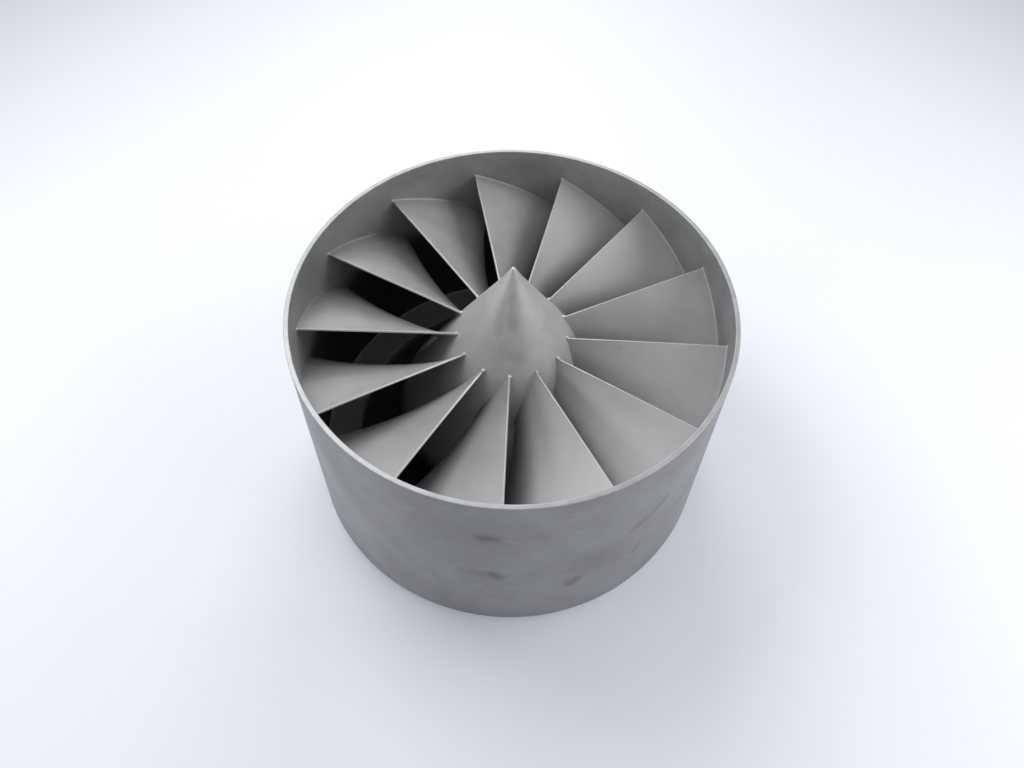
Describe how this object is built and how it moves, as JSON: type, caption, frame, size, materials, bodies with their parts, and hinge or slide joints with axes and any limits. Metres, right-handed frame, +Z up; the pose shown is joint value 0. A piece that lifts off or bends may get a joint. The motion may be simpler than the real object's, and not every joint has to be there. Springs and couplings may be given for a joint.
{
  "type": "turbine impeller",
  "caption": "Shrouded axial turbine impeller: twisted blades join a pointed cone-shaped hub to the bore of a tall open shroud ring.",
  "frame": {"origin": "on the shroud's axis in the plane that it stands on", "axes": "+Z up along the axis towards the pointed nose, -Y towards the viewer of the picture, X to the viewer's right"},
  "size_m": [0.8078, 0.8078, 0.532],
  "materials": {
    "shroud_steel": "blasted light grey steel, matte, faint dark smudges",
    "ring_steel": "blasted grey steel, matte",
    "hub_steel": "blasted light grey steel, matte",
    "blade_steel": "blasted light grey steel, matte, bright ground edges"
  },
  "bodies": {
    "root": {"shroud_sector_01": "shroud_steel", "shroud_sector_02": "shroud_steel", "shroud_sector_03": "shroud_steel", "shroud_sector_04": "shroud_steel", "shroud_sector_05": "shroud_steel", "shroud_sector_06": "shroud_steel", "shroud_sector_07": "shroud_steel", "shroud_sector_08": "shroud_steel", "shroud_sector_09": "shroud_steel", "shroud_sector_10": "shroud_steel", "shroud_sector_11": "shroud_steel", "shroud_sector_12": "shroud_steel", "shroud_sector_13": "shroud_steel", "blade_01": "blade_steel", "blade_02": "blade_steel", "blade_03": "blade_steel", "blade_04": "blade_steel", "blade_05": "blade_steel", "blade_06": "blade_steel", "blade_07": "blade_steel", "blade_08": "blade_steel", "blade_09": "blade_steel", "blade_10": "blade_steel", "blade_11": "blade_steel", "blade_12": "blade_steel", "blade_13": "blade_steel", "lower_ring": "ring_steel", "hub_body": "hub_steel", "nose_cone": "hub_steel"}
  },
  "joints": []
}
